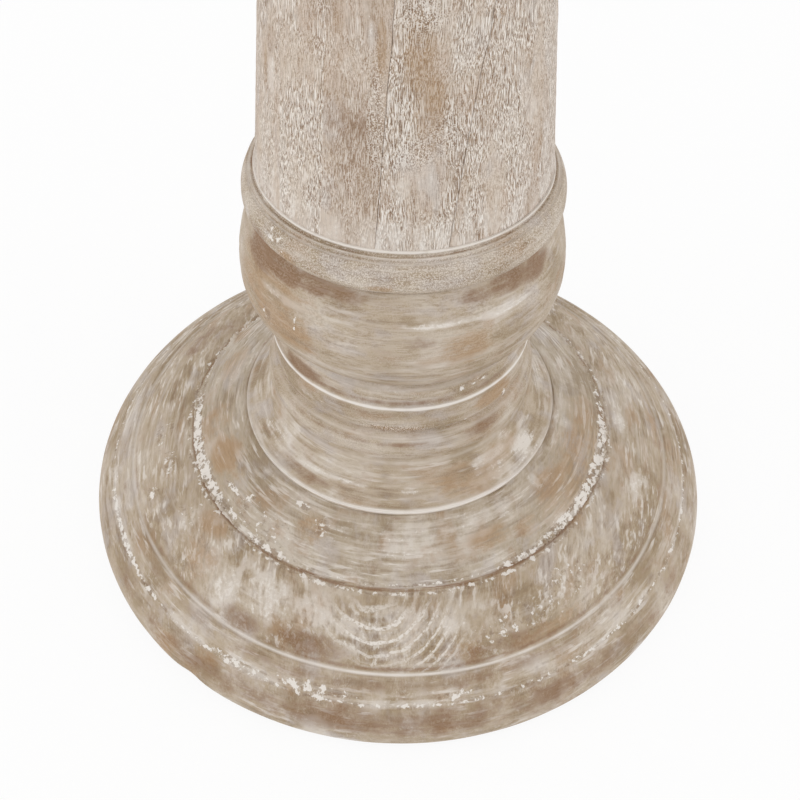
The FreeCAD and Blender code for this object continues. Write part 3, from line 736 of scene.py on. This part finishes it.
def add_wood(mesh, node, material, seed, pores=1.0, tone=0.0):
    """Put a finished mesh in the scene in place of a CAD node."""
    count = len(mesh.vertices)
    store(mesh, "board", np.full(count, seed))
    store(mesh, "pores", np.full(count, pores))
    store(mesh, "tone", np.full(count, tone))
    mesh.polygons.foreach_set("use_smooth", np.ones(len(mesh.polygons), dtype=bool))
    mesh.set_sharp_from_angle(angle=math.radians(SHARP_FROM))
    mesh.materials.append(material)
    piece = bpy.data.objects.new(f"{node}_wood", mesh)
    bpy.context.collection.objects.link(piece)
    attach(piece, "root")
    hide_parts(node)
    return piece


print("ready to turn")

# %% [markdown]
# The foot is two discs. The lower one is glued up from three boards with the grain running away
# from the viewer, so its crowned top shows nested arches. A bright ledge and a shoulder with flecks
# of lime run round it. Outside the ledge the rag went round, and inside it the brush followed the
# grain. A dab is a kind of mark with its angle, radius, width, height and amount.

# %% Foot
FOOT_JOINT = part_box("foot_board_middle")[1][0] / MM
LEDGE_RADIUS = 152.0
RIM_RADIUS = 167.0
KNOCK_ANGLE = -36.5
KNOCK_WIDTH = 2.2
KNOCK_DEPTH = 0.9


def rim_knock(angle, radius, level):
    """A knock on the rim, front left."""
    dent = np.exp(-((angle - KNOCK_ANGLE) / KNOCK_WIDTH) ** 2) * (radius > RIM_RADIUS)
    return -KNOCK_DEPTH * dent


foot_finish = limewashed("foot_lime", "y", FADED, pores=0.1, strokes=0.35, streaks=0.3, brush=0.62, film=0.52,
                         grit=0.0, pith=(-12.0, 92.0), ring_width=3.4, pore_size=(0.8, 16.0), lay="both")
# Its dark dabs are brown stain; those on the rim's front are painted shade as well.
foot_dabs = [
    ("figure", -3.0, 137.0, 28.0, 13.0, 1.0), ("figure", 7.0, 139.0, 16.0, 15.0, 0.9),
    ("lime", -27.5, 136.0, 12.0, 12.0, 0.9), ("lime", -37.5, 142.0, 8.0, 8.0, 0.6),
    ("lime", -18.0, 133.0, 16.0, 10.0, 0.65), ("lime", -2.0, 136.0, 40.0, 11.0, 0.6),
    ("stain_and_shade", -31.5, 149.0, 14.0, 5.0, 0.8), ("stain_and_shade", -17.0, 147.5, 20.0, 5.5, 0.85),
    ("stain_and_shade", 22.0, 148.5, 30.0, 3.5, 0.6), ("bare", 30.0, 150.0, 22.0, 4.0, 0.7),
    ("bare", 12.0, 147.0, 14.0, 5.0, 0.5), ("crumbs", 27.0, 142.0, 30.0, 6.5, 0.45),
    ("crumbs", 40.0, 137.0, 18.0, 9.0, 0.4), ("crumbs", 20.0, 145.0, 16.0, 3.0, 0.5),
    ("bare", -51.0, 124.0, 11.0, 7.0, 0.9), ("bare", -47.0, 140.0, 14.0, 8.0, 0.55),
    ("crumbs", -83.0, 136.5, 9.0, 4.0, 0.6), ("crumbs", -74.0, 131.5, 9.0, 4.0, 0.6),
    ("crumbs", -69.0, 144.5, 5.0, 4.0, 0.7), ("crumbs", -86.0, 131.0, 6.0, 3.0, 0.55),
    ("crumbs", -58.0, 131.0, 10.0, 9.0, 0.35), ("crumbs", -66.0, 165.8, 40.0, 1.5, 1.0),
    ("lime", -92.0, 160.0, 16.0, 5.0, 0.5), ("stain_and_shade", -116.0, 138.0, 16.0, 8.0, 0.75),
    ("stain_and_shade", -122.0, 128.5, 14.0, 7.0, 0.6), ("bare", -34.5, 169.5, 9.0, 3.0, 0.75),
    ("bare", -43.0, 175.0, 10.0, 4.0, 0.7), ("lime", 88.5, 125.5, 8.0, 5.0, 0.9),
    ("bare", 93.0, 149.0, 14.0, 4.0, 0.7), ("bare", 86.0, 160.0, 16.0, 6.0, 0.5),
    ("bare", 74.0, 123.0, 8.0, 4.0, 0.5), ("lime", 72.5, 138.0, 12.0, 6.0, 0.55),
    ("crumbs", -14.5, 163.8, 24.0, 2.6, 0.75), ("crumbs", 10.0, 163.5, 13.0, 2.0, 0.6),
    ("lime", 25.5, 161.0, 12.0, 4.0, 0.7), ("crumbs", -28.0, 165.5, 22.0, 2.4, 0.8),
    ("stain_and_shade", -7.5, 171.0, 10.0, 5.0, 0.9), ("stain_and_shade", 21.5, 168.5, 22.0, 4.0, 0.6),
    ("lime", -14.0, 176.0, 16.0, 3.0, 0.5),
]
# Dark rings paint shade beside and below the bright ledge, on the rim's front and in the seam crease.
# The line ring on the ledge is lime with painted highlight.
foot_rings = [
    ("ledge_lime_and_highlight", 153.9, 30.9, 0.8, 1.2, 0.35), ("crumbs", 166.3, 22.4, 1.5, 0.8, 0.8),
    ("lime", 165.6, 23.2, 2.2, 0.6, 0.8), ("stain_and_shade", 158.7, 28.6, 3.6, 0.7, 0.4),
    ("stain_and_shade", 172.5, 16.5, 8.0, 0.95, 0.35), ("stain_and_shade", 151.7, 32.4, 1.6, 0.9, 0.6),
    ("crumbs", 119.4, 48.9, 1.6, 0.85, 0.8), ("stain_and_shade", 117.7, 49.3, 0.9, 1.1, 1.0),
]
blank = turn_mesh("foot_blank", "foot_board_middle", FRONT, 600, 0.8, 11, rim_knock)
joints = [None, (-FOOT_JOINT, TIGHT_JOINT), (FOOT_JOINT, TIGHT_JOINT), None]
for number, side in enumerate(("left", "middle", "right")):
    node = f"foot_board_{side}"
    mesh = sawn(blank, node, Vector((1.0, 0.0, 0.0)), joints[number], joints[number + 1])
    mark(mesh, foot_dabs, foot_rings, level_wise=False)
    store(mesh, "round", read_places(mesh)[1] > LEDGE_RADIUS)
    add_wood(mesh, node, foot_finish, 0.0)
bpy.data.meshes.remove(blank)
print("foot joints at", round(FOOT_JOINT, 1), "mm")

# %% [markdown]
# The upper disc lies on the lower one, and the seam between them was filled with thick lime. At the
# sides it stands up in crumbly lumps, and in front it has fallen out and left a thin dark crack. The
# lumps are real shape, so they catch the light from any side.

# %% Upper disc of the foot
SEAM_LEVEL = 50.6
SEAM_HEIGHT = 1.8
LUMPS_FROM = 30.0
LUMP_HEIGHT = 1.4
CRACK_ANGLE = -20.0
CRACK_WIDTH = 24.0
CRACK_DEPTH = 0.9


def crust(angle, radius, level):
    """Lumps of lime at both ends of the seam, and a crack between them."""
    near = np.exp(-((level - SEAM_LEVEL) / SEAM_HEIGHT) ** 2)
    lumps = np.abs(waves(np.radians(angle), 41, 60, 150, 14)) * (np.abs(angle) > LUMPS_FROM)
    broken = 0.6 + 0.4 * waves(np.radians(angle), 42, 20, 60)
    crack = np.exp(-((angle - CRACK_ANGLE) / CRACK_WIDTH) ** 2) * broken
    return near * (LUMP_HEIGHT * lumps - CRACK_DEPTH * np.clip(crack, 0.0, 1.0))


upper_finish = limewashed("upper_foot_lime", "y", GREYED, pores=0.1, strokes=0.45, streaks=0.12, brush=0.6,
                          film=0.45, grit=0.0, pith=(30.0, 190.0), ring_width=7.0, pore_size=(0.8, 14.0))
upper_dabs = [
    ("lime", 1.0, 97.0, 34.0, 9.0, 0.5), ("lime", 8.0, 105.0, 20.0, 5.0, 0.3),
    ("crumbs", -31.5, 92.2, 5.0, 2.0, 0.9), ("crumbs", -23.0, 97.5, 5.0, 5.0, 0.75),
    ("bare", -26.0, 99.0, 10.0, 6.0, 0.75), ("crumbs", -37.0, 109.0, 16.0, 7.0, 0.45),
    ("crumbs", -47.0, 106.5, 6.0, 8.0, 0.55), ("bare", -66.0, 103.0, 13.0, 9.0, 1.1),
    ("crumbs", -55.0, 107.0, 7.0, 1.5, 0.9), ("bare", -105.0, 100.0, 14.0, 8.0, 0.6),
    ("bare", 27.0, 102.5, 12.0, 7.0, 0.7), ("bare", 54.0, 99.0, 16.0, 7.0, 1.1),
    ("bare", 40.0, 106.0, 10.0, 6.0, 0.6), ("lime", 36.0, 95.0, 6.0, 8.0, 0.5),
    ("lime", 50.0, 92.0, 3.0, 6.0, 0.7), ("lime", 78.0, 92.0, 5.0, 6.0, 0.5),
    ("bare", 66.0, 104.0, 52.0, 13.0, 0.65), ("bare", -72.0, 104.0, 46.0, 13.0, 0.4),
    ("crumbs", 70.0, 114.8, 66.0, 3.2, 1.05), ("crumbs", -72.0, 114.8, 54.0, 3.4, 1.05),
    ("crumbs", 33.0, 116.0, 18.0, 1.6, 0.9), ("crumbs", -36.0, 115.8, 18.0, 1.6, 0.85),
]
# Dark rings paint shade in the seam crease, on the low slope and in the crease under the cove.
upper_rings = [
    ("crumbs", 115.4, 50.9, 1.2, 0.7, 1.0), ("stain_and_shade", 117.0, 49.6, 0.9, 1.2, 1.0),
    ("stain_and_shade", 108.5, 56.2, 5.0, 0.3, 0.3), ("stain_and_shade", 86.9, 68.2, 1.2, 0.4, 1.0),
    ("lime", 95.5, 64.5, 6.5, 0.4, 0.2),
]
mesh = turn_mesh("foot_upper_disc_wood", "foot_upper_disc", FRONT, 600, 0.7, 12, crust)
mark(mesh, upper_dabs, upper_rings, level_wise=False)
add_wood(mesh, "foot_upper_disc", upper_finish, 0.4)
print("upper disc:", len(mesh.vertices), "vertices")

# %% [markdown]
# The cove, ring, cushion and bead are thin discs, turned together. The rag went round them on the
# lathe, so their lime lies in strokes round the axis. The bright lines on the narrow fillets are lime
# with painted highlight, and the dark ones in the creases are painted shade. Their dabs are placed by
# level, because they stand upright.

# %% Mouldings
def moulding(node, finish, seed, pitch, dabs=(), rings=(), bearing=FRONT, segments=384):
    mesh = turn_mesh(f"{node}_wood", node, bearing, segments, pitch, seed)
    mark(mesh, dabs, rings)
    add_wood(mesh, node, finish, seed * 0.37)
    print(node, len(mesh.vertices), "vertices")


cove_finish = limewashed("cove_lime", "x", FADED, pores=0.08, strokes=0.6, streaks=0.08, brush=0.4, film=0.7)
# Its line rings are lime with painted highlight.
# The dark dab at the left foot of the cove is painted shade in the crease.
moulding("cove_disc", cove_finish, 21, 0.7, [
    ("bare", 30.0, 78.0, 26.0, 7.0, 0.75), ("bare", 45.0, 80.0, 16.0, 6.0, 0.7),
    ("lime", 39.0, 82.0, 11.0, 2.5, 0.8), ("lime", 57.0, 76.0, 8.0, 4.0, 0.8),
    ("lime", -37.0, 77.0, 14.0, 2.0, 0.85), ("lime", -20.0, 77.5, 14.0, 1.2, 0.6),
    ("stain_and_shade", -38.0, 73.5, 18.0, 1.8, 0.8), ("lime", 4.0, 77.0, 6.0, 2.0, 0.6),
    ("lime", -50.0, 88.0, 12.0, 8.0, 0.5),
], [("ledge_lime_and_highlight", 84.9, 70.6, 1.2, 1.7, 0.3), ("ledge_lime_and_highlight", 70.1, 91.3, 1.6, 0.4, 0.5)])

ring_finish = limewashed("ring_lime", "x", FADED, pores=0.1, strokes=0.5, streaks=0.1, brush=0.3, film=0.25,
                         grit=0.2)
# Dark rings paint shade in the creases between the fillets; line rings are lime with painted highlight.
moulding("ring_disc", ring_finish, 22, 0.5, [
    ("stain_and_shade", -49.0, 132.5, 14.0, 4.0, 1.1), ("crumbs", 33.0, 135.5, 17.0, 2.5, 0.6),
    ("lime", -2.0, 139.0, 8.0, 1.5, 0.7), ("bare", 44.0, 119.5, 13.0, 7.0, 1.1),
    ("crumbs", 51.0, 115.0, 2.0, 4.0, 0.9), ("bare", -2.0, 113.0, 16.0, 2.5, 0.9),
    ("speck", -2.0, 113.0, 18.0, 3.0, 0.7), ("crumbs", 25.0, 111.5, 10.0, 1.5, 0.7),
    ("stain_and_shade", 38.0, 105.0, 16.0, 4.0, 0.7), ("lime", -40.0, 118.0, 14.0, 5.0, 0.4),
], [("ledge_lime_and_highlight", 66.4, 128.2, 0.95, 1.6, 0.8), ("stain_and_shade", 64.4, 111.3, 2.0, 0.5, 0.6),
    ("stain_and_shade", 65.5, 131.4, 1.6, 0.8, 0.7), ("stain_and_shade", 70.4, 98.0, 0.9, 0.6, 0.7),
    ("stain_and_shade", 69.0, 104.9, 1.6, 0.6, 0.7), ("ledge_lime_and_highlight", 67.0, 107.4, 0.9, 0.45, 0.7),
    ("stain_and_shade", 66.4, 123.7, 2.4, 0.4, 0.7), ("ledge_lime_and_highlight", 63.6, 138.8, 1.0, 0.4, 0.7),
    ("stain_and_shade", 61.6, 141.0, 0.9, 0.4, 1.0)])

cushion_finish = limewashed("cushion_lime", "x", FADED, pores=0.2, strokes=0.4, streaks=0.15, brush=0.3,
                            film=0.25, grit=0.14)
# Its dark ring is painted shade in the crease at its foot.
# The dark dabs along its top are brown stain and painted shade under the bead.
moulding("cushion_disc", cushion_finish, 23, 0.8, [
    ("stain_and_shade", -59.0, 201.0, 14.0, 8.0, 1.1), ("stain_and_shade", -46.0, 202.0, 16.0, 6.5, 1.15),
    ("stain_and_shade", -33.0, 202.5, 14.0, 5.0, 1.0), ("stain_and_shade", -21.0, 202.5, 14.0, 4.0, 0.8),
    ("stain_and_shade", 53.0, 200.5, 12.0, 6.0, 1.0), ("stain_and_shade", 40.0, 202.0, 14.0, 5.0, 1.05),
    ("stain_and_shade", 28.0, 201.5, 12.0, 4.0, 0.75), ("stain_and_shade", 4.0, 202.5, 30.0, 3.0, 0.3),
    ("lime", 14.0, 192.5, 18.0, 2.2, 1.0), ("lime", 36.0, 191.0, 16.0, 3.0, 1.0),
    ("lime", -44.0, 189.0, 16.0, 3.5, 0.8), ("bare", 22.0, 178.5, 12.0, 9.0, 0.95),
    ("bare", -40.0, 173.0, 15.0, 10.0, 1.0), ("bare", -28.0, 176.0, 10.0, 8.0, 0.4),
    ("crumbs", -37.5, 179.5, 1.2, 5.0, 0.8), ("crumbs", -51.5, 174.0, 4.0, 6.0, 0.7),
    ("stain_and_shade", 6.0, 184.5, 10.0, 4.0, 0.35), ("bare", -52.0, 186.0, 28.0, 24.0, 0.75),
], [("stain_and_shade", 71.9, 152.9, 3.4, 0.45, 0.8), ("lime", 78.0, 179.3, 5.0, 0.3, 0.3)])

bead_finish = limewashed("bead_lime", "x", FADED, pores=0.2, strokes=0.25, streaks=0.1, brush=0.25, film=0.4,
                         grit=0.5)
# Dark rings between the bright lines are painted shade in the grooves and under the bead's edge.
# The bright lines are lime with painted highlight.
moulding("bead_disc", bead_finish, 24, 0.3, [
    ("crumbs", -47.0, 217.0, 6.0, 5.0, 0.7), ("bare", -41.0, 212.0, 6.0, 3.0, 0.9),
    ("bare", -7.5, 211.0, 6.0, 2.0, 0.9), ("stain_and_shade", -58.0, 211.0, 10.0, 5.0, 0.6),
    ("lime", -30.0, 216.0, 18.0, 4.0, 0.4),
], [("ledge_lime_and_highlight", 67.5, 226.4, 0.7, 1.5, 0.8), ("stain_and_shade", 68.2, 224.6, 0.5, 0.8, 1.0),
    ("ledge_lime_and_highlight", 69.4, 224.4, 0.5, 0.9, 0.8), ("stain_and_shade", 70.1, 223.4, 0.4, 0.7, 1.0),
    ("ledge_lime_and_highlight", 70.6, 222.5, 0.5, 0.8, 0.8), ("stain_and_shade", 71.5, 221.4, 0.4, 0.5, 0.8),
    ("ledge_lime_and_highlight", 72.0, 220.4, 0.5, 0.5, 0.7), ("stain_and_shade", 71.0, 208.0, 1.0, 0.3, 0.7)])

# %% [markdown]
# The shaft is glued up from boards of one thickness, set at an angle to the viewer, so the joints
# run up its taper as slanting lines. Each board took the lime in its own way: one has open wavy
# pores, its neighbour is smooth and tan, and another is stained and speckled.

# %% Shaft
JOINT_TURN = -36.0
BOARD_THICKNESS = 23.38
JOINT_SHIFT = 6.1
JOINT_ROOMS = (TIGHT_JOINT, TIGHT_JOINT, TIGHT_JOINT, OPEN_JOINT, OPEN_JOINT)
BOARD_PORES = (0.9, 0.8, 1.0, 0.6, 1.0, 1.0)
BOARD_TONES = (0.0, 0.1, 0.2, -0.1, 0.05, 0.2)

shaft_finish = limewashed("shaft_lime", "z", ROSY, pores=1.15, strokes=0.0, streaks=0.2, brush=0.22, film=0.3,
                          grit=0.25, warmth=0.4, turn=JOINT_TURN, pore_size=(0.28, 7.5), lay="grain")
shaft_dabs = [
    ("bare", 4.5, 308.0, 6.5, 17.0, 0.9), ("bare", 8.5, 290.0, 7.5, 15.0, 0.9),
    ("bare", 9.5, 278.0, 4.0, 8.0, 0.6), ("bare", -8.8, 312.0, 1.8, 12.0, 1.2),
    ("stain_and_shade", -20.0, 272.0, 11.0, 24.0, 0.45), ("stain_and_shade", -13.6, 252.0, 2.5, 9.0, 0.6),
    ("lime", -16.8, 318.0, 9.0, 16.0, 0.5), ("lime", 4.0, 254.0, 13.0, 12.0, 0.5),
    ("lime", 53.0, 276.0, 6.0, 8.0, 0.5), ("lime", 66.0, 246.0, 5.0, 16.0, 0.5),
    ("lime", -58.0, 288.0, 4.0, 14.0, 0.5), ("bare", -64.0, 284.0, 2.0, 11.0, 0.8),
    ("bare", 51.0, 299.0, 3.5, 11.0, 0.7), ("bare", 60.0, 258.0, 2.5, 8.0, 0.6),
    ("bare", -35.0, 233.0, 9.0, 5.0, 0.35), ("speck", 5.2, 323.0, 8.0, 7.0, 0.6),
    ("speck", 4.0, 270.0, 8.0, 8.0, 0.55), ("speck", -10.0, 284.0, 3.5, 24.0, 0.5),
    ("speck", 14.0, 276.0, 7.0, 8.0, 0.5),
]
shaft_rings = [("lime", 66.0, 230.0, 16.0, 0.75, 0.9)]
angle = math.radians(JOINT_TURN)
joint_normal = Vector((math.cos(angle), math.sin(angle), 0.0))
joints = [(JOINT_SHIFT + BOARD_THICKNESS * step, room) for step, room in zip(range(-2, 3), JOINT_ROOMS)]
joints = [None] + joints + [None]
blank = turn_mesh("shaft_blank", "shaft_board_3", JOINT_TURN - 90.0, 384, 2.2, 25)
for number, (pores, tone) in enumerate(zip(BOARD_PORES, BOARD_TONES), start=1):
    node = f"shaft_board_{number}"
    mesh = sawn(blank, node, joint_normal, joints[number - 1], joints[number])
    mark(mesh, shaft_dabs, shaft_rings)
    add_wood(mesh, node, shaft_finish, number * 1.7, pores, tone)
bpy.data.meshes.remove(blank)
print("shaft joints at", [joint[0] for joint in joints if joint])

# %% [markdown]
# Above the picture's edge the shaft ends in a collar and a capital, which carry the sub-top and the
# round top. They get the same kind of finish. The top's boards run across the table, each a little
# paler or darker than its neighbour, and the brush followed their long grain. The outline of the top
# is read a little off the middle joint, where the cut stays inside one board.

# %% Collar, capital and top
moulding("collar_ring", ring_finish, 26, 0.7)
moulding("capital_disc", cove_finish, 27, 0.9)

TOP_BEARING = -6.0
top_finish = limewashed("top_lime", "x", GREYED, pores=0.5, strokes=0.1, streaks=0.45, brush=0.3, film=0.5,
                        pith=(20.0, 420.0), ring_width=8.0, pore_size=(0.7, 26.0), lay="grain", reach=5.0)
TOP_TONES = (0.2, -0.25, 0.1, -0.15, 0.3, -0.1)
BOARD_WIDTH = (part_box("top_board_1")[1][1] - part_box("top_board_1")[0][1]) / MM
blank = turn_mesh("top_blank", "top_board_3", TOP_BEARING, 480, 1.2, 28)
joints = [None] + [(step * BOARD_WIDTH, OPEN_JOINT) for step in range(-2, 3)] + [None]
for number, tone in enumerate(TOP_TONES, start=1):
    node = f"top_board_{number}"
    mesh = sawn(blank, node, Vector((0.0, 1.0, 0.0)), joints[number - 1], joints[number])
    mark(mesh)
    add_wood(mesh, node, top_finish, number * 2.3, 1.0, tone)
bpy.data.meshes.remove(blank)
print("top boards", round(BOARD_WIDTH, 1), "mm wide")

# %% [markdown]
# The sub-top keeps its CAD boards, because their screw holes are real. The rod, nuts, washers and
# screws are zinc-plated steel, a little dull and patchy, and the pads under the foot are felt.

# %% Sub-top, hardware and pads
PATCH_SIZE = 4.0 * MM
FUZZ_SIZE = 0.625 * MM


def plated_steel():
    f = Finish("plated_steel")
    patch = f.noise(f.spot(PATCH_SIZE), 4.0, 0.6)
    f.join(f.blend(f.step(patch, 0.35, 0.7), paint(150, 150, 148), paint(196, 196, 192)),
           f.shader.inputs["Base Color"])
    f.join(0.3 + patch * 0.25, f.shader.inputs["Roughness"])
    f.shader.inputs["Metallic"].default_value = 1.0
    return f.material


def felt():
    f = Finish("felt")
    fuzz = f.noise(f.spot(FUZZ_SIZE), 5.0, 0.7)
    f.join(f.blend(f.step(fuzz, 0.3, 0.7), paint(108, 100, 92), paint(150, 142, 132)),
           f.shader.inputs["Base Color"])
    f.shader.inputs["Roughness"].default_value = 0.95
    bump = f.node("ShaderNodeBump", {}, {"Strength": 0.7, "Distance": 0.4 * MM, "Height": fuzz})
    f.join(bump, f.shader.inputs["Normal"])
    return f.material


def dress(node, material):
    """Give a CAD node that stays in view its finish."""
    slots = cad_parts[node].data.materials
    slots.clear()
    slots.append(material)


sub_top_finish = limewashed("sub_top_lime", "y", GREYED, pores=0.5, strokes=0.0, streaks=0.45, lay="grain",
                            reach=3.0)
steel_finish = plated_steel()
for side in ("left", "middle", "right"):
    dress(f"sub_top_{side}", sub_top_finish)
for node in ("tie_rod", "lower_washer", "lower_nut", "upper_washer", "upper_nut", "top_screws"):
    dress(node, steel_finish)
dress("felt_pads", felt())
print("hardware dressed")
